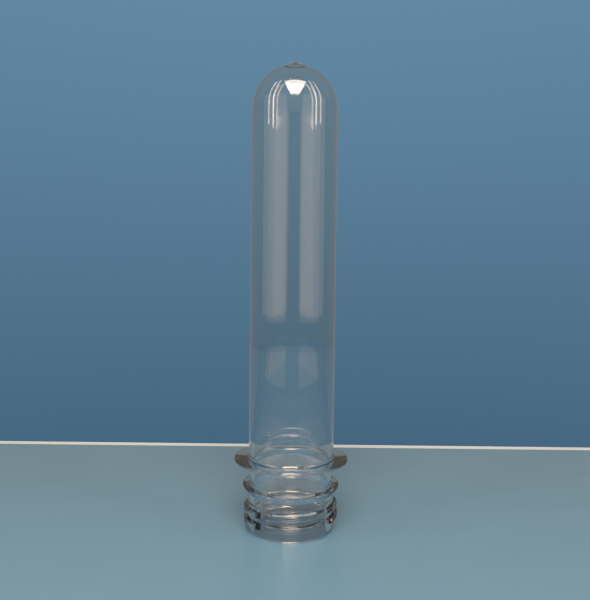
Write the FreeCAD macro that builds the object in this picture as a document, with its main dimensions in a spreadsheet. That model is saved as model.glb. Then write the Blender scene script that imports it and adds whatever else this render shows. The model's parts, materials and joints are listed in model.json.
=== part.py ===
import FreeCAD, Part
import math
import os
import Sketcher

# A clear PET preform: the moulded blank that is warmed and blown into a bottle.
# It stands on its open lip, +Z up, with the origin at the centre of the lip's plane.
# The 28 mm neck finish is at the foot, the closed round end with its gate mark on top.
# All sizes are in millimetres and degrees.

doc = FreeCAD.newDocument("Preform")
sheet = doc.addObject("Spreadsheet::Sheet", "sizes")

drivingSizes = [
    # neck
    ("rootDiameter", "24.94", "neck between the threads"),
    ("crestDiameter", "27.43", "over the threads"),
    ("boreDiameter", "21.74", "inside of the neck"),
    ("lipOuterRound", "0.6", "round on the lip's outer edge"),
    ("lipInnerRound", "0.35", "round on the lip's inner edge"),
    # screw thread
    ("threadPitch", "3.18", "rise for each turn"),
    ("threadTurns", "1.8", "length of the thread, in turns"),
    ("threadStart", "1.75", "middle of the ridge above the lip, at its start"),
    ("threadStartAngle", "82", "where the ridge starts, counter-clockwise from +X"),
    ("threadWidth", "2.3", "ridge where it meets the neck"),
    ("leadFlank", "20", "slope of the flank that faces the lip"),
    ("loadFlank", "10", "slope of the flank that a cap pulls on"),
    ("crestRound", "0.4", "round along both edges of the crest"),
    ("runOutAngle", "28", "angle over which each end fades into the neck"),
    ("runOutHeight", "0.12", "what is left of the ridge at its very end"),
    # gaps that let gas out past the thread
    ("ventCount", "4", "gaps round the neck"),
    ("ventAngle", "53", "first gap, counter-clockwise from +X"),
    ("ventWidth", "2", "floor of a gap"),
    ("ventDepth", "0.2", "how far a gap goes into the neck"),
    ("ventFlank", "35", "slope of a gap's sides"),
    ("ventBottom", "0.9", "lower end of a gap above the lip"),
    ("ventTop", "9.3", "upper end of a gap above the lip"),
    # bead that holds the cap's tamper band
    ("beadDiameter", "28", "over the bead"),
    ("beadHeight", "13.3", "the bead's flat face above the lip"),
    ("beadRim", "0.5", "thickness of the bead at its rim"),
    ("beadSlope", "1.8", "height of the slope under the rim"),
    ("beadRound", "0.15", "round on the rim's edges"),
    # support ring
    ("waistDiameter", "24.1", "neck between bead and ring"),
    ("ringDiameter", "33", "over the support ring"),
    ("ringHeight", "21", "the ring's flat face above the lip"),
    ("ringRim", "0.8", "thickness of the ring at its rim"),
    ("ringSlope", "1.8", "height of the cone under the rim"),
    ("ringRound", "0.3", "round on the rim's edges"),
    ("ringFillet", "0.6", "fillet between ring and body"),
    # body
    ("bodyDiameter", "24.7", "body just above the ring"),
    ("domeDiameter", "24.5", "sphere that closes the body"),
    ("domeHeight", "121", "centre of that sphere above the lip"),
    # core
    ("neckBoreLength", "26", "straight bore above the lip"),
    ("taperLength", "26.5", "cone from the neck's bore to the core"),
    ("coreDiameter", "18.85", "core at the end of that cone"),
    ("coreDomeDiameter", "18", "sphere at the core's tip"),
    ("endWall", "3", "wall at the closed end"),
    # gate mark
    ("gateDiameter", "3.9", "top of the gate mark"),
    ("gateBase", "5.4", "foot of the gate mark"),
    ("gateHeight", "1.1", "gate mark above the dome"),
]
for row, (alias, value, note) in enumerate(drivingSizes, start=1):
    sheet.set(f"A{row}", note)
    sheet.set(f"B{row}", value)
    sheet.setAlias(f"B{row}", alias)
doc.recompute()

bury = 0.4  # how far an added profile reaches into the wall it stands on
clear = 1.0  # how far a cutting profile reaches past what it cuts

preform = doc.addObject("PartDesign::Body", "preform")
preform.Label = "preform"


def originFeature(role):
    """A plane or an axis of the body's own origin."""
    for feature in preform.Origin.OriginFeatures:
        if feature.Role == role:
            return feature
    raise ValueError(role)


def newSketch(name, role, turn=None, height=None):
    """A sketch on an origin plane, turned about the body's axis and raised if asked."""
    sketch = preform.newObject("Sketcher::SketchObject", name)
    sketch.AttachmentSupport = [(originFeature(role), "")]
    sketch.MapMode = "FlatFace"
    if turn:
        upright = FreeCAD.Vector(0, 1, 0) if role == "XZ_Plane" else FreeCAD.Vector(0, 0, 1)
        turned = FreeCAD.Rotation(upright, 1)
        sketch.AttachmentOffset = FreeCAD.Placement(FreeCAD.Vector(0, 0, 0), turned)
        sketch.setExpression(".AttachmentOffset.Rotation.Angle", turn)
    if height:
        sketch.setExpression(".AttachmentOffset.Base.z", height)
    doc.recompute()
    return sketch


def bindDimension(sketch, kind, where, formula):
    """One dimension of a sketch, bound to the sheet."""
    value = float(sketch.evalExpression(formula))
    index = sketch.addConstraint(Sketcher.Constraint(kind, *where, value))
    sketch.setExpression(f"Constraints[{index}]", formula)


def placePoint(sketch, edge, end, across, up):
    """Puts an edge's end at its place across and up from the sketch's origin."""
    for kind, formula, axis in (("DistanceX", across, -2), ("DistanceY", up, -1)):
        if formula == "0":
            sketch.addConstraint(Sketcher.Constraint("PointOnObject", edge, end, axis))
        else:
            bindDimension(sketch, kind, (edge, end), formula)


def pointAt(sketch, across, up):
    x = float(sketch.evalExpression(across))
    y = float(sketch.evalExpression(up))
    return FreeCAD.Vector(x, y, 0)


def closedOutline(sketch, corners):
    """Straight edges from corner to corner and back to the first. A corner is its place
    across and up, and a radius if it is rounded: a rounded corner's place is a point of
    construction that both of its edges point at, with an arc tangent to them."""
    places = [pointAt(sketch, corner[0], corner[1]) for corner in corners]
    count = len(corners)
    radii = [float(sketch.evalExpression(c[2])) if len(c) == 3 else 0 for c in corners]
    arrivals = []
    leaves = []
    for i, place in enumerate(places):
        before = (places[i - 1] - place).normalize()
        after = (places[(i + 1) % count] - place).normalize()
        setback = radii[i] / math.tan(before.getAngle(after) / 2)
        arrivals.append(place + before * setback)
        leaves.append(place + after * setback)
    edges = []
    for i in range(count):
        line = Part.LineSegment(leaves[i], arrivals[(i + 1) % count])
        edges.append(sketch.addGeometry(line, False))
    for i, corner in enumerate(corners):
        before = edges[i - 1]
        after = edges[i]
        if not radii[i]:
            sketch.addConstraint(Sketcher.Constraint("Coincident", before, 2, after, 1))
            placePoint(sketch, after, 1, corner[0], corner[1])
            continue
        mark = sketch.addGeometry(Part.Point(places[i]), True)
        placePoint(sketch, mark, 1, corner[0], corner[1])
        sketch.addConstraint(Sketcher.Constraint("PointOnObject", mark, 1, before))
        sketch.addConstraint(Sketcher.Constraint("PointOnObject", mark, 1, after))
        inward = (arrivals[i] + leaves[i]) * 0.5 - places[i]
        reach = math.hypot(radii[i], (arrivals[i] - places[i]).Length)
        centre = places[i] + inward.normalize() * reach
        first = arrivals[i] - centre
        second = leaves[i] - centre
        turnsLeft = first.cross(second).z > 0
        start, end = (first, second) if turnsLeft else (second, first)
        circle = Part.Circle(centre, FreeCAD.Vector(0, 0, 1), radii[i])
        startAngle = math.atan2(start.y, start.x)
        endAngle = math.atan2(end.y, end.x)
        arc = sketch.addGeometry(Part.ArcOfCircle(circle, startAngle, endAngle), False)
        arrivalEnd, leaveEnd = (1, 2) if turnsLeft else (2, 1)
        sketch.addConstraint(Sketcher.Constraint("Tangent", before, 2, arc, arrivalEnd))
        sketch.addConstraint(Sketcher.Constraint("Tangent", arc, leaveEnd, after, 1))
        bindDimension(sketch, "Radius", (arc,), corner[2])


def domedOutline(sketch, lower, sphereRadius, sphereHeight):
    """The outline of a round bar closed by a sphere: edges from the axis out and up through
    the lower corners, one more that runs tangent into the sphere, and back down the axis."""
    radius = float(sketch.evalExpression(sphereRadius))
    corners = [("0", "0")] + lower
    places = [pointAt(sketch, across, up) for across, up in corners]
    centre = pointAt(sketch, "0", sphereHeight)
    places.append(centre + FreeCAD.Vector(radius, 0, 0))
    edges = []
    for start, end in zip(places, places[1:]):
        edges.append(sketch.addGeometry(Part.LineSegment(start, end), False))
    circle = Part.Circle(centre, FreeCAD.Vector(0, 0, 1), radius)
    dome = sketch.addGeometry(Part.ArcOfCircle(circle, 0, math.pi / 2), False)
    top = centre + FreeCAD.Vector(0, radius, 0)
    axis = sketch.addGeometry(Part.LineSegment(top, places[0]), False)
    for before, after in zip(edges, edges[1:]):
        sketch.addConstraint(Sketcher.Constraint("Coincident", before, 2, after, 1))
    for edge, (across, up) in zip(edges, corners):
        placePoint(sketch, edge, 1, across, up)
    sketch.addConstraint(Sketcher.Constraint("Tangent", edges[-1], 2, dome, 1))
    sketch.addConstraint(Sketcher.Constraint("Coincident", dome, 2, axis, 1))
    sketch.addConstraint(Sketcher.Constraint("Coincident", axis, 2, edges[0], 1))
    sketch.addConstraint(Sketcher.Constraint("PointOnObject", dome, 2, -2))
    placePoint(sketch, dome, 3, "0", sphereHeight)
    bindDimension(sketch, "Radius", (dome,), sphereRadius)


def spin(kind, name, sketch):
    """A Revolution that adds the sketch, or a Groove that takes it away, right round."""
    feature = preform.newObject(f"PartDesign::{kind}", name)
    feature.Profile = sketch
    feature.ReferenceAxis = (sketch, ["V_Axis"])
    feature.Angle = 360
    doc.recompute()
    return feature


def cutUpward(name, sketch, height):
    """A Pocket that runs up from its sketch."""
    pocket = preform.newObject("PartDesign::Pocket", name)
    pocket.Profile = sketch
    pocket.Type = "Length"
    pocket.setExpression("Length", height)
    pocket.Reversed = True
    doc.recompute()
    return pocket


def roundEdges(name, radiusName, radius, height):
    """Fillets the circular edge that lies at the given radius and height."""
    base = preform.Tip
    chosen = []
    for number, edge in enumerate(base.Shape.Edges, start=1):
        if edge.Degenerated or edge.Curve.TypeId != "Part::GeomCircle":
            continue
        sameRadius = abs(edge.Curve.Radius - radius) < 0.001
        sameHeight = abs(edge.Curve.Center.z - height) < 0.001
        if sameRadius and sameHeight:
            chosen.append(f"Edge{number}")
    fillet = preform.newObject("PartDesign::Fillet", name)
    fillet.Base = (base, chosen)
    fillet.setExpression("Radius", f"sizes.{radiusName}")
    doc.recompute()
    return fillet


# Outer form: neck, waist, body and round end, as one solid of revolution.
outer = newSketch("outerOutline", "XZ_Plane")
domedOutline(
    outer,
    [
        ("sizes.rootDiameter / 2", "0"),
        ("sizes.rootDiameter / 2", "sizes.beadHeight"),
        ("sizes.waistDiameter / 2", "sizes.beadHeight"),
        ("sizes.waistDiameter / 2", "sizes.ringHeight"),
        ("sizes.bodyDiameter / 2", "sizes.ringHeight"),
    ],
    "sizes.domeDiameter / 2",
    "sizes.domeHeight",
)
spin("Revolution", "outerForm", outer)

# Support ring: flat on the body's side, a cone on the lip's side.
ring = newSketch("ringOutline", "XZ_Plane")
ringFoot = "sizes.ringHeight - sizes.ringRim - sizes.ringSlope"
closedOutline(
    ring,
    [
        (f"sizes.waistDiameter / 2 - {bury}", "sizes.ringHeight"),
        (f"sizes.waistDiameter / 2 - {bury}", ringFoot),
        ("sizes.waistDiameter / 2", ringFoot),
        ("sizes.ringDiameter / 2", "sizes.ringHeight - sizes.ringRim", "sizes.ringRound"),
        ("sizes.ringDiameter / 2", "sizes.ringHeight", "sizes.ringRound"),
    ],
)
spin("Revolution", "supportRing", ring)

# Tamper bead: flat towards the ring, sloped towards the lip so that a cap's band rides over it.
bead = newSketch("beadOutline", "XZ_Plane")
beadFoot = "sizes.beadHeight - sizes.beadRim - sizes.beadSlope"
closedOutline(
    bead,
    [
        (f"sizes.waistDiameter / 2 - {bury}", "sizes.beadHeight"),
        (f"sizes.waistDiameter / 2 - {bury}", beadFoot),
        ("sizes.rootDiameter / 2", beadFoot),
        ("sizes.beadDiameter / 2", "sizes.beadHeight - sizes.beadRim", "sizes.beadRound"),
        ("sizes.beadDiameter / 2", "sizes.beadHeight", "sizes.beadRound"),
    ],
)
spin("Revolution", "tamperBead", bead)

# Gate mark: the stub left where the plastic came in, standing on the dome.
gate = newSketch("gateOutline", "XZ_Plane")
domeTop = "sizes.domeHeight + sizes.domeDiameter / 2"
closedOutline(
    gate,
    [
        ("0", f"{domeTop} - {clear}"),
        ("sizes.gateBase / 2", f"{domeTop} - {clear}"),
        ("sizes.gateBase / 2", domeTop),
        ("sizes.gateDiameter / 2", f"{domeTop} + sizes.gateHeight"),
        ("0", f"{domeTop} + sizes.gateHeight"),
    ],
)
spin("Revolution", "gateMark", gate)

# Core: straight bore in the neck, a cone where the wall grows thick, and the core's round tip.
core = newSketch("coreOutline", "XZ_Plane")
domedOutline(
    core,
    [
        ("sizes.boreDiameter / 2", "0"),
        ("sizes.boreDiameter / 2", "sizes.neckBoreLength"),
        ("sizes.coreDiameter / 2", "sizes.neckBoreLength + sizes.taperLength"),
    ],
    "sizes.coreDomeDiameter / 2",
    f"{domeTop} - sizes.endWall - sizes.coreDomeDiameter / 2",
)
spin("Groove", "coreCut", core)

# Rounded edges: the lip's, inside and out, and the root of the ring on the body's side.
roundEdges("lipOuterEdge", "lipOuterRound", sheet.get("rootDiameter") / 2, 0)
roundEdges("lipInnerEdge", "lipInnerRound", sheet.get("boreDiameter") / 2, 0)
roundEdges("ringRoot", "ringFillet", sheet.get("bodyDiameter") / 2, sheet.get("ringHeight"))

# Thread: one ridge of a rounded trapezium's section, swept round the neck as a right-hand helix.
thread = newSketch("threadSection", "XZ_Plane", turn="sizes.threadStartAngle")
ridge = "(sizes.crestDiameter - sizes.rootDiameter) / 2"
lowerEdge = "sizes.threadStart - sizes.threadWidth / 2"
upperEdge = "sizes.threadStart + sizes.threadWidth / 2"
closedOutline(
    thread,
    [
        (f"sizes.rootDiameter / 2 - {bury}", f"{upperEdge} + {bury} * tan(sizes.loadFlank)"),
        (f"sizes.rootDiameter / 2 - {bury}", f"{lowerEdge} - {bury} * tan(sizes.leadFlank)"),
        (
            "sizes.crestDiameter / 2",
            f"{lowerEdge} + {ridge} * tan(sizes.leadFlank)",
            "sizes.crestRound",
        ),
        (
            "sizes.crestDiameter / 2",
            f"{upperEdge} - {ridge} * tan(sizes.loadFlank)",
            "sizes.crestRound",
        ),
    ],
)
helix = preform.newObject("PartDesign::AdditiveHelix", "screwThread")
helix.Profile = thread
helix.ReferenceAxis = (thread, ["V_Axis"])
helix.Mode = "pitch-turns-angle"
helix.setExpression("Pitch", "sizes.threadPitch")
helix.setExpression("Turns", "sizes.threadTurns")
helix.Angle = 0
doc.recompute()


def runOut(name, turn, height, side):
    """Fades one end of the ridge: a cut as high as the pitch, whose wall is a wide arc that
    leaves the crest at the run-out's angle and is nearly down to the neck at the ridge's end.
    The ridge lies on the given side of its end: 1 counter-clockwise, -1 clockwise."""
    sketch = newSketch(name + "Outline", "XY_Plane", turn, height)
    end = "sizes.rootDiameter / 2 + sizes.runOutHeight"
    beyond = f"sizes.crestDiameter / 2 + {clear}"
    corners = [
        (end, "0"),
        ("sizes.crestDiameter / 2 * cos(sizes.runOutAngle)",
         f"{side} * sizes.crestDiameter / 2 * sin(sizes.runOutAngle)"),
        (f"({beyond}) * cos(sizes.runOutAngle)", f"{side} * ({beyond}) * sin(sizes.runOutAngle)"),
        (beyond, f"{-side * clear}"),
        (end, f"{-side * clear}"),
    ]
    places = [pointAt(sketch, across, up) for across, up in corners]
    # The arc's centre is on the sketch's axis, as far from the end as from the crest.
    first, crest = places[0], places[1]
    middle = (crest.Length ** 2 - first.Length ** 2) / (2 * (crest.x - first.x))
    centre = FreeCAD.Vector(middle, 0, 0)
    circle = Part.Circle(centre, FreeCAD.Vector(0, 0, 1), (first - centre).Length)
    crestAngle = math.atan2(crest.y, crest.x - middle)
    angles = (0, crestAngle) if side > 0 else (crestAngle, 0)
    wall = sketch.addGeometry(Part.ArcOfCircle(circle, *angles), False)
    endOfWall, crestOfWall = (1, 2) if side > 0 else (2, 1)
    edges = []
    for start, stop in zip(places[1:], places[2:] + places[:1]):
        edges.append(sketch.addGeometry(Part.LineSegment(start, stop), False))
    sketch.addConstraint(Sketcher.Constraint("Coincident", wall, crestOfWall, edges[0], 1))
    sketch.addConstraint(Sketcher.Constraint("Coincident", edges[-1], 2, wall, endOfWall))
    sketch.addConstraint(Sketcher.Constraint("PointOnObject", wall, 3, -1))
    for before, after in zip(edges, edges[1:]):
        sketch.addConstraint(Sketcher.Constraint("Coincident", before, 2, after, 1))
    placePoint(sketch, wall, endOfWall, *corners[0])
    for edge, corner in zip(edges, corners[1:]):
        placePoint(sketch, edge, 1, *corner)
    return cutUpward(name, sketch, "sizes.threadPitch")


runOut("startRunOut", "sizes.threadStartAngle", "sizes.threadStart - sizes.threadPitch / 2", 1)
runOut(
    "endRunOut",
    "sizes.threadStartAngle + 360 * sizes.threadTurns",
    "sizes.threadStart + (sizes.threadTurns - 0.5) * sizes.threadPitch",
    -1,
)

# Vent gaps: slots up the neck that break the thread, with sloping sides.
vent = newSketch("ventOutline", "XY_Plane", "sizes.ventAngle", "sizes.ventBottom")
ventFloor = "sizes.rootDiameter / 2 - sizes.ventDepth"
ventMouth = f"sizes.crestDiameter / 2 + {clear}"
mouthHalf = f"sizes.ventWidth / 2 + ({ventMouth} - ({ventFloor})) * tan(sizes.ventFlank)"
closedOutline(
    vent,
    [
        (ventFloor, "-sizes.ventWidth / 2"),
        (ventMouth, f"-({mouthHalf})"),
        (ventMouth, mouthHalf),
        (ventFloor, "sizes.ventWidth / 2"),
    ],
)
ventCut = cutUpward("ventGap", vent, "sizes.ventTop - sizes.ventBottom")
vents = preform.newObject("PartDesign::PolarPattern", "ventGaps")
vents.Originals = [ventCut]
vents.Axis = (originFeature("Z_Axis"), [""])
vents.Angle = 360
vents.setExpression("Occurrences", "sizes.ventCount")
preform.Tip = vents
doc.recompute()

# Every feature must have worked before anything is written.
for feature in doc.Objects:
    if "Invalid" in feature.State or "Error" in feature.State:
        raise RuntimeError(f"{feature.Name} failed")
shape = preform.Shape
if shape.isNull() or not shape.isValid() or len(shape.Solids) != 1:
    raise RuntimeError("the preform isn't one valid solid")
os.makedirs("parts", exist_ok=True)
shape.exportStep(f"parts/{preform.Label}.step")
print("volume in cm3:", round(shape.Volume / 1000, 3))
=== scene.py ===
import json
from math import acos, atan2, cos, degrees, pi, radians, sin, tan

import bmesh
import bpy
from mathutils import Euler, Matrix, Vector


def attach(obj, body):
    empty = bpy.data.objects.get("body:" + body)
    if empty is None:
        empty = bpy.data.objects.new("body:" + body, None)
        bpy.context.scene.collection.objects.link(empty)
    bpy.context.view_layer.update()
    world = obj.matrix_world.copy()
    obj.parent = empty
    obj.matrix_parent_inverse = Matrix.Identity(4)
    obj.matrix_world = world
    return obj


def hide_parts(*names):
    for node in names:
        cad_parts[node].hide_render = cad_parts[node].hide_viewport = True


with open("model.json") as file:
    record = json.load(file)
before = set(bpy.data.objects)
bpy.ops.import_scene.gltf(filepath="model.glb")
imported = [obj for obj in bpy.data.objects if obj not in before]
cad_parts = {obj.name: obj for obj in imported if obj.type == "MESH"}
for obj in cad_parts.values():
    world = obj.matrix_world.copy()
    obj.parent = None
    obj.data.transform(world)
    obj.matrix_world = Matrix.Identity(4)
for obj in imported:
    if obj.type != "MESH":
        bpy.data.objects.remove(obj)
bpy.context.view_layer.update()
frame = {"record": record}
mounts = {mount["name"]: mount for mount in frame["record"]["mounts"]}
mm = 0.001

# the camera stands a little above the preform's middle and looks slightly down
view = {
    "distance": 170 * mm,
    "height": 69.05 * mm,
    "side": 0.7 * mm,
    "lookDown": 2.3,
    "lean": 0.64,  # the preform leans this much to the right
    "lens": 35.12,
    "sensor": 36,
    "shiftUp": 0.0258,
    "nearClip": 0.01,
    "farClip": 20,
}


def setCamera():
    cameraData = bpy.data.cameras.new("camera")
    cameraData.lens = view["lens"]
    cameraData.sensor_width = view["sensor"]
    cameraData.shift_y = view["shiftUp"]
    cameraData.clip_start = view["nearClip"]
    cameraData.clip_end = view["farClip"]
    camera = bpy.data.objects.new("camera", cameraData)
    bpy.context.scene.collection.objects.link(camera)
    camera.location = (view["side"], -view["distance"], view["height"])
    aim = Euler((radians(90 - view["lookDown"]), 0, 0)).to_matrix()
    roll = Matrix.Rotation(radians(view["lean"]), 3, "Z")
    camera.rotation_euler = (aim @ roll).to_euler()
    bpy.context.scene.camera = camera


setCamera()
print("camera set")


def roundedPath(corners, steps=5, hold=0.05):
    # corners are (across, up, radius); a short run is kept beside each arc, so that
    # the shading of a long straight wall isn't bent by the arc next to it
    points = []
    last = len(corners) - 1
    for i, (across, up, radius) in enumerate(corners):
        corner = Vector((across, up))
        if radius == 0 or i in (0, last):
            points.append(corner)
            continue
        before = Vector(corners[i - 1][:2]) - corner
        after = Vector(corners[i + 1][:2]) - corner
        half = before.angle(after) / 2
        setback = radius / tan(half)
        start = corner + before.normalized() * setback
        stop = corner + after.normalized() * setback
        inward = (before.normalized() + after.normalized()).normalized()
        centre = corner + inward * radius / sin(half)
        if hold and before.length > setback + 3 * hold:
            points.append(start + before.normalized() * hold)
        first = start - centre
        turn = first.angle_signed(stop - centre)
        for step in range(steps + 1):
            spun = first.copy()
            spun.rotate(Matrix.Rotation(-turn * step / steps, 2))
            points.append(centre + spun)
        if hold and after.length > setback + 3 * hold:
            points.append(stop + after.normalized() * hold)
    return points


def domeArc(radius, height, topRadius, steps):
    # from the widest circle up to where the arc has drawn in to topRadius
    end = acos(topRadius / radius)
    return [
        Vector((radius * cos(end * i / steps), height + radius * sin(end * i / steps)))
        for i in range(steps + 1)
    ]


# the preform is one moulding that stands on its lip, with the round end on top;
# its radii and heights are in millimetres, its angles in degrees
neck = {
    "bore": mounts["neck_bore"]["dims"]["r_mm"],
    "root": 12.47,
    "crest": 13.715,
    "lipOuterRound": 0.6,
    "lipInnerRound": 0.35,
    "lipRun": 0.4,  # flat part of the lip that its outer round starts from
    "beadRadius": 14.0,
    "beadHeight": 13.3,
    "beadRim": 0.5,
    "beadSlope": 1.8,
    "beadRound": 0.15,
    "waist": 12.05,
    "waistRound": 0.25,
    "ringRadius": 16.5,
    "ringHeight": 21.0,
    "ringRim": 0.8,
    "ringSlope": 1.8,
    "ringRound": 0.3,
    "slopeRound": 0.3,
}
thread = {
    "pitch": 3.18,
    "turns": 1.8,
    "spans": 4,  # turns listed below and above the start, in every column
    "start": 2.25,
    "startAngle": 82,
    "width": 2.1,
    "leadFlank": 20,
    "loadFlank": 10,
    "crestRound": 0.4,
    "footFillet": 0.15,
    "footRun": 0.35,
    "runOut": 28,
    "endHeight": 0.1,
    "leastHeight": 0.001,
    "leastShare": 0.02,
}
vents = {
    "count": 4,
    "firstAngle": 53,
    "width": 2.0,
    "depth": 0.05,
    "flank": 35,
    "bottom": 0.9,
    "top": 9.3,
    "fade": 0.25,
    "clear": 99,  # any radius beyond the ridge
}
body = {
    "radius": 12.35,
    "domeRadius": 12.25,
    "domeHeight": 121.0,
    "ringFillet": 0.6,
    "boreLength": 26.0,
    "boreRound": 0.8,
    "taperLength": 26.5,
    "core": 9.425,
    "coreRound": 1.5,
    "coreDome": 9.0,
    "endWall": 3.0,
}
gate = {
    "foot": 2.7,
    "footRound": 0.25,
    "footRun": (0.4, 0.1),  # how far the run into the foot goes out and down
    "top": 1.95,
    "topRound": 0.2,
    "height": 1.1,
}
columns = {
    "each": 1.25,
    "places": 4,
    "least": 0.001,
    "lead": 1,  # straight run before the first corner that is kept
    "hold": 0.06,
    "gap": 0.02,
    "axisHole": 0.25,
    "coreSteps": 36,
    "domeSteps": 40,
    "weld": 0.0008,
    "crease": 32,
}


def ventReach(angle):
    # radius that the gaps leave at this angle, or a large one between them
    spacing = 360 / vents["count"]
    away = abs((angle - vents["firstAngle"] + spacing / 2) % spacing - spacing / 2)
    floor = neck["root"] - vents["depth"]
    halfWidth = vents["width"] / 2
    ray = radians(away)
    if floor * tan(ray) <= halfWidth:
        return floor / cos(ray)
    # past the floor the walls spread: across = halfWidth + (out - floor) * spread
    spread = tan(radians(vents["flank"]))
    reach = cos(ray) * spread
    if sin(ray) >= reach:
        return vents["clear"]
    return (floor * spread - halfWidth) / (reach - sin(ray))


def ridgeHeight(turn, angle):
    # height of the ridge above the neck at this turn of the thread
    full = neck["crest"] - neck["root"]
    if turn < 0 or turn > thread["turns"]:
        return 0
    fromEnd = min(turn, thread["turns"] - turn) * 360
    share = min(1, fromEnd / thread["runOut"])
    rise = thread["endHeight"] + (full - thread["endHeight"]) * share * (2 - share)
    return max(0, min(rise, full, ventReach(angle) - neck["root"]))


def ridgeSection(height):
    # (up, out) from the foot on the lip's side to the foot on the other
    half = thread["width"] / 2
    side = half + thread["footRun"]
    share = max(height / (neck["crest"] - neck["root"]), thread["leastShare"])
    tall = max(height, thread["leastHeight"])
    fillet = thread["footFillet"] * share
    crest = thread["crestRound"] * share
    return roundedPath([
        (-side, 0, 0),
        (-half, 0, fillet),
        (-half + tall * tan(radians(thread["leadFlank"])), tall, crest),
        (half - tall * tan(radians(thread["loadFlank"])), tall, crest),
        (half, 0, fillet),
        (side, 0, 0),
    ], steps=4, hold=0)


def neckBand(angle, turnShare, low, high):
    # one column of the threaded band: rows climb with the thread and stop at low and high
    points = []
    cut = neck["root"] - min(ventReach(angle), neck["root"])
    for turn in range(-thread["spans"], thread["spans"]):
        height = ridgeHeight(turn + turnShare, angle)
        middle = thread["start"] + (turn + turnShare) * thread["pitch"]
        for up, out in ridgeSection(height):
            z = min(max(middle + up, low), high)
            ends = min(z - vents["bottom"], vents["top"] - z) / vents["fade"]
            radius = neck["root"] + (out if height else 0)
            radius -= cut * min(max(ends, 0), 1)
            points.append(Vector((radius, z)))
    return points


def buildColumns():
    # even columns, and one more along every edge of a gap
    step, places = columns["each"], columns["places"]
    angles = {round(i * step, places) for i in range(int(360 / step))}
    floor = neck["root"] - vents["depth"]
    spread = tan(radians(vents["flank"]))
    for i in range(vents["count"]):
        middle = vents["firstAngle"] + i * 360 / vents["count"]
        for out in (floor, neck["root"], neck["crest"]):
            across = vents["width"] / 2 + (out - floor) * spread
            edge = degrees(atan2(across, out))
            for side in (-1, 1):
                angles.add(round((middle + side * edge) % 360, places))
    return sorted(angles)


def coreProfile():
    # from the core's tip down the inside to the lip
    tip = body["domeHeight"] + body["domeRadius"] - body["endWall"] - body["coreDome"]
    arc = domeArc(body["coreDome"], tip, columns["axisHole"], columns["coreSteps"])
    held = Vector((body["coreDome"], tip - columns["hold"]))
    wall = roundedPath([
        (body["coreDome"], tip, 0),
        (body["core"], body["boreLength"] + body["taperLength"], body["coreRound"]),
        (neck["bore"], body["boreLength"], body["boreRound"]),
        (neck["bore"], 0, neck["lipInnerRound"]),
        (neck["bore"] + columns["lead"], 0, 0),
    ])
    return arc[::-1] + [held] + wall[1:-1]


def lipProfile():
    # the lip's outer round, from the flat the preform stands on to the band
    return roundedPath([
        (neck["bore"] + neck["lipRun"], 0, 0),
        (neck["root"], 0, neck["lipOuterRound"]),
        (neck["root"], 5 * columns["lead"], 0),
    ])[1:-1]


def outerProfile():
    # from the bead's foot up over the ring and the body to the gate mark
    beadRimFoot = neck["beadHeight"] - neck["beadRim"]
    ringRimFoot = neck["ringHeight"] - neck["ringRim"]
    beadFoot = beadRimFoot - neck["beadSlope"]
    ringFoot = ringRimFoot - neck["ringSlope"]
    wall = roundedPath([
        (neck["root"], beadFoot - columns["lead"], 0),
        (neck["root"], beadFoot, neck["slopeRound"]),
        (neck["beadRadius"], beadRimFoot, neck["beadRound"]),
        (neck["beadRadius"], neck["beadHeight"], neck["beadRound"]),
        (neck["waist"], neck["beadHeight"], neck["waistRound"]),
        (neck["waist"], ringFoot, neck["slopeRound"]),
        (neck["ringRadius"], ringRimFoot, neck["ringRound"]),
        (neck["ringRadius"], neck["ringHeight"], neck["ringRound"]),
        (body["radius"], neck["ringHeight"], body["ringFillet"]),
        (body["domeRadius"], body["domeHeight"], 0),
    ])
    held = Vector((body["domeRadius"], body["domeHeight"] - columns["hold"]))
    arc = domeArc(body["domeRadius"], body["domeHeight"], gate["foot"], columns["domeSteps"])
    foot = arc[-1].y
    runOut, runDown = gate["footRun"]
    stub = roundedPath([
        (gate["foot"] + runOut, foot - runDown, 0),
        (gate["foot"], foot, gate["footRound"]),
        (gate["top"], foot + gate["height"], gate["topRound"]),
        (columns["axisHole"], foot + gate["height"], 0),
    ], steps=4)
    return wall[1:-1] + [held] + arc[:-1] + stub[1:]


def makePreform():
    # columns from the core's tip, round the lip, to the gate mark, joined side by side
    inside, lip, outside = coreProfile(), lipProfile(), outerProfile()
    low = neck["lipOuterRound"] + columns["gap"]
    high = outside[0].y - columns["gap"]
    first = thread["startAngle"]
    around = sorted((angle - first) % 360 for angle in buildColumns())
    around = [ahead for ahead in around if ahead > columns["least"]]
    mesh = bmesh.new()
    grid = []
    for ahead in [0] + around + [360]:
        angle = first + ahead
        east, north = cos(radians(angle)) * mm, sin(radians(angle)) * mm
        band = neckBand(angle, ahead / 360, low, high)
        grid.append([
            mesh.verts.new((point.x * east, point.x * north, point.y * mm))
            for point in inside + lip + band + outside
        ])
    for left, right in zip(grid, grid[1:]):
        for i in range(len(left) - 1):
            mesh.faces.new((left[i], right[i], right[i + 1], left[i + 1]))
    bmesh.ops.remove_doubles(mesh, verts=mesh.verts, dist=columns["weld"] * mm)
    bmesh.ops.holes_fill(mesh, edges=[edge for edge in mesh.edges if edge.is_boundary])
    bmesh.ops.triangulate(mesh, faces=[face for face in mesh.faces if len(face.verts) > 4])
    bmesh.ops.recalc_face_normals(mesh, faces=mesh.faces)
    problems = sum(1 for edge in mesh.edges if not edge.is_manifold)
    data = bpy.data.meshes.new("preform_clear")
    mesh.to_mesh(data)
    mesh.free()
    for face in data.polygons:
        face.use_smooth = True
    data.set_sharp_from_angle(angle=radians(columns["crease"]))
    print("preform:", len(data.polygons), "faces,", problems, "open edges")
    piece = bpy.data.objects.new("preform_clear", data)
    bpy.context.scene.collection.objects.link(piece)
    return piece


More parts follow.
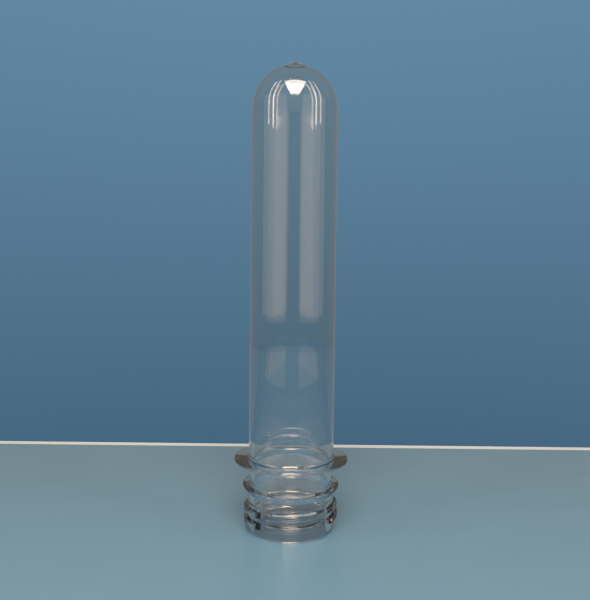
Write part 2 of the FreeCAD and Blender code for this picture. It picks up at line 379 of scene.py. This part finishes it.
def newMaterial(name):
    material = bpy.data.materials.new(name)
    material.use_nodes = True
    nodes, links = material.node_tree.nodes, material.node_tree.links
    nodes.clear()
    output = nodes.new("ShaderNodeOutputMaterial")
    shader = nodes.new("ShaderNodeBsdfPrincipled")
    links.new(shader.outputs["BSDF"], output.inputs["Surface"])
    return material, nodes, links, shader, output


clearPet = {
    "tint": (1, 1, 1, 1),
    "ior": 1.575,
    "roughness": 0,
    "streaks": (1200, 1200, 8),  # fine marks drawn out along the preform
    "streakDetail": 2,
    "bump": 0.02,
    "bumpDepth": 0.0001,
    "absorb": (0.80, 0.52, 0.32, 1),
    "density": 55,
}


def clearPlastic():
    material, nodes, links, shader, output = newMaterial("clear_plastic")
    shader.inputs["Base Color"].default_value = clearPet["tint"]
    shader.inputs["Transmission Weight"].default_value = 1
    shader.inputs["IOR"].default_value = clearPet["ior"]
    shader.inputs["Roughness"].default_value = clearPet["roughness"]
    place = nodes.new("ShaderNodeTexCoord")
    stretch = nodes.new("ShaderNodeMapping")
    stretch.inputs["Scale"].default_value = clearPet["streaks"]
    links.new(place.outputs["Object"], stretch.inputs["Vector"])
    drag = nodes.new("ShaderNodeTexNoise")
    drag.inputs["Scale"].default_value = 1
    drag.inputs["Detail"].default_value = clearPet["streakDetail"]
    links.new(stretch.outputs["Vector"], drag.inputs["Vector"])
    bump = nodes.new("ShaderNodeBump")
    bump.inputs["Strength"].default_value = clearPet["bump"]
    bump.inputs["Distance"].default_value = clearPet["bumpDepth"]
    links.new(drag.outputs["Fac"], bump.inputs["Height"])
    links.new(bump.outputs["Normal"], shader.inputs["Normal"])
    depth = nodes.new("ShaderNodeVolumeAbsorption")
    depth.inputs["Color"].default_value = clearPet["absorb"]
    depth.inputs["Density"].default_value = clearPet["density"]
    links.new(depth.outputs["Volume"], output.inputs["Volume"])
    return material


preform = makePreform()
preform.data.materials.append(clearPlastic())
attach(preform, "root")
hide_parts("preform")

# a plain table; the pale strip along its far side is a painted highlight, standing in for the
# light caught where the floor bends up into the wall
table = {
    "behind": 93 * mm,
    "front": 600 * mm,
    "side": 600 * mm,
    "thick": 4 * mm,
    "edge": 4.5 * mm,
    "colour": (0.10, 0.20, 0.30),
    "highlightStripColour": (0.55, 0.60, 0.64),
    "roughness": 0.35,
    "grain": 60,
    "grainDetail": 4,
    "grainShare": 0.04,  # how much darker and lighter the grain goes
}


def slab(name, low, high):
    mesh = bmesh.new()
    outline = ((low[0], low[1]), (high[0], low[1]), (high[0], high[1]), (low[0], high[1]))
    bottom = [mesh.verts.new((x, y, low[2])) for x, y in outline]
    top = [mesh.verts.new((x, y, high[2])) for x, y in outline]
    mesh.faces.new(bottom[::-1])
    mesh.faces.new(top)
    for i in range(4):
        following = (i + 1) % 4
        mesh.faces.new((bottom[i], bottom[following], top[following], top[i]))
    data = bpy.data.meshes.new(name)
    mesh.to_mesh(data)
    mesh.free()
    piece = bpy.data.objects.new(name, data)
    bpy.context.scene.collection.objects.link(piece)
    return piece


def tablePaint(name, colour):
    material, nodes, links, shader, output = newMaterial(name)
    shader.inputs["Roughness"].default_value = table["roughness"]
    place = nodes.new("ShaderNodeTexCoord")
    grain = nodes.new("ShaderNodeTexNoise")
    grain.inputs["Scale"].default_value = table["grain"]
    grain.inputs["Detail"].default_value = table["grainDetail"]
    links.new(place.outputs["Object"], grain.inputs["Vector"])
    mix = nodes.new("ShaderNodeMix")
    mix.data_type = "RGBA"
    darker, lighter = 1 - table["grainShare"], 1 + table["grainShare"]
    mix.inputs[6].default_value = [part * darker for part in colour] + [1]
    mix.inputs[7].default_value = [part * lighter for part in colour] + [1]
    links.new(grain.outputs["Fac"], mix.inputs[0])
    links.new(mix.outputs[2], shader.inputs["Base Color"])
    return material


board = slab(
    "table",
    (-table["side"], -table["front"], -table["thick"]),
    (table["side"], table["behind"] - table["edge"], 0),
)
board.data.materials.append(tablePaint("table_paint", table["colour"]))
# painted highlight: this pale strip stands in for light caught along the crease between floor
# and wall
edge = slab(
    "table_highlight_strip",
    (-table["side"], table["behind"] - table["edge"], -table["thick"]),
    (table["side"], table["behind"], 0),
)
edge.data.materials.append(tablePaint("table_highlight_strip_paint", table["highlightStripColour"]))
print("table set")

# lamps are placed in metres from the middle of the round end, angles in degrees
warm = (1.0, 0.84, 0.66)
domeZ = body["domeHeight"] * mm
ceiling = {"above": 0.45, "near": 0.49, "far": 1.95, "half": 0.45, "radiance": 14}
# heights and places along a strip are shares of its distance to the side
strips = {
    "away": 0.5,
    "width": 0.04,
    "radiance": 8,
    "front": {"back": 0.54, "lean": 0.20, "low": 0.305, "high": 1.5},
    "rear": {"back": 0.24, "lean": 0.19, "low": 0.285, "high": 1.17},
}
sideWall = {
    "away": 0.5,
    "from": 21.6,
    "to": 87,
    "low": 0.045,
    "high": 0.35,
    "radiance": 0.7,
}


def areaLight(name, centre, target, size, radiance):
    light = bpy.data.lights.new(name, "AREA")
    light.shape = "RECTANGLE"
    light.size, light.size_y = size
    light.energy = radiance * pi * size[0] * size[1]
    light.color = warm
    lamp = bpy.data.objects.new(name, light)
    lamp.location = centre
    aim = Vector(target) - Vector(centre)
    lamp.rotation_euler = aim.to_track_quat("-Z", "Y").to_euler()
    lamp.visible_camera = False
    bpy.context.scene.collection.objects.link(lamp)


def lightCeiling():
    above = ceiling["above"]
    middleY = -(ceiling["near"] + ceiling["far"]) / 2 * above
    size = (2 * ceiling["half"] * above, (ceiling["far"] - ceiling["near"]) * above)
    areaLight(
        "ceiling_panel", (0, middleY, domeZ + above), (0, middleY, 0), size, ceiling["radiance"]
    )


def lightStrip(name, side, strip):
    away = strips["away"]
    foot = Vector((side * away, -strip["back"] * away, domeZ + strip["low"] * away))
    head = Vector((
        side * away, -(strip["back"] + strip["lean"]) * away, domeZ + strip["high"] * away,
    ))
    size = (strips["width"], (head - foot).length)
    areaLight(name, (foot + head) / 2, (0, 0, domeZ), size, strips["radiance"])


def lightSideWall(name, side):
    # a wide dim wall between the camera and the preform's side
    near, far = radians(sideWall["from"]), radians(sideWall["to"])
    start = Vector((sin(near), -cos(near))) * sideWall["away"]
    stop = Vector((sin(far), -cos(far))) * sideWall["away"]
    middle = (start + stop) / 2
    height = (sideWall["low"] + sideWall["high"]) / 2
    size = ((stop - start).length, sideWall["high"] - sideWall["low"])
    areaLight(
        name, (side * middle.x, middle.y, height), (0, 0, height), size, sideWall["radiance"]
    )


lightCeiling()
for side, name in ((-1, "left"), (1, "right")):
    lightStrip(f"{name}_strip_1", side, strips["front"])
    lightStrip(f"{name}_strip_2", side, strips["rear"])
    lightSideWall(f"{name}_wall", side)

# the backdrop is seen directly and through the plastic, with painted shade making it darker
# towards the bottom as the wall is lit from above; all else gets plain room light
room = {
    "low": -0.26,
    "high": 0.45,
    "shadedLowColour": (0.058, 0.132, 0.212, 1),
    "litHighColour": (0.125, 0.250, 0.365, 1),
    "light": (0.30, 0.27, 0.24, 1),
}


def setWorld():
    world = bpy.data.worlds.new("room")
    bpy.context.scene.world = world
    world.use_nodes = True
    nodes, links = world.node_tree.nodes, world.node_tree.links
    nodes.clear()
    output = nodes.new("ShaderNodeOutputWorld")
    place = nodes.new("ShaderNodeTexCoord")
    split = nodes.new("ShaderNodeSeparateXYZ")
    links.new(place.outputs["Generated"], split.inputs["Vector"])
    ramp = nodes.new("ShaderNodeMapRange")
    ramp.inputs["From Min"].default_value = room["low"]
    ramp.inputs["From Max"].default_value = room["high"]
    links.new(split.outputs["Z"], ramp.inputs["Value"])
    # painted shade: the backdrop goes from a darker colour low down to a lighter one high up
    tone = nodes.new("ShaderNodeMix")
    tone.data_type = "RGBA"
    tone.inputs[6].default_value = room["shadedLowColour"]
    tone.inputs[7].default_value = room["litHighColour"]
    links.new(ramp.outputs["Result"], tone.inputs[0])
    backdrop = nodes.new("ShaderNodeBackground")
    links.new(tone.outputs[2], backdrop.inputs["Color"])
    roomLight = nodes.new("ShaderNodeBackground")
    roomLight.inputs["Color"].default_value = room["light"]
    seen = nodes.new("ShaderNodeLightPath")
    either = nodes.new("ShaderNodeMath")
    either.operation = "MAXIMUM"
    links.new(seen.outputs["Is Camera Ray"], either.inputs[0])
    links.new(seen.outputs["Is Transmission Ray"], either.inputs[1])
    shown = nodes.new("ShaderNodeMixShader")
    links.new(either.outputs["Value"], shown.inputs["Fac"])
    links.new(roomLight.outputs["Background"], shown.inputs[1])
    links.new(backdrop.outputs["Background"], shown.inputs[2])
    links.new(shown.outputs["Shader"], output.inputs["Surface"])


setWorld()
bpy.context.scene.view_settings.view_transform = "Standard"
print("lights set")
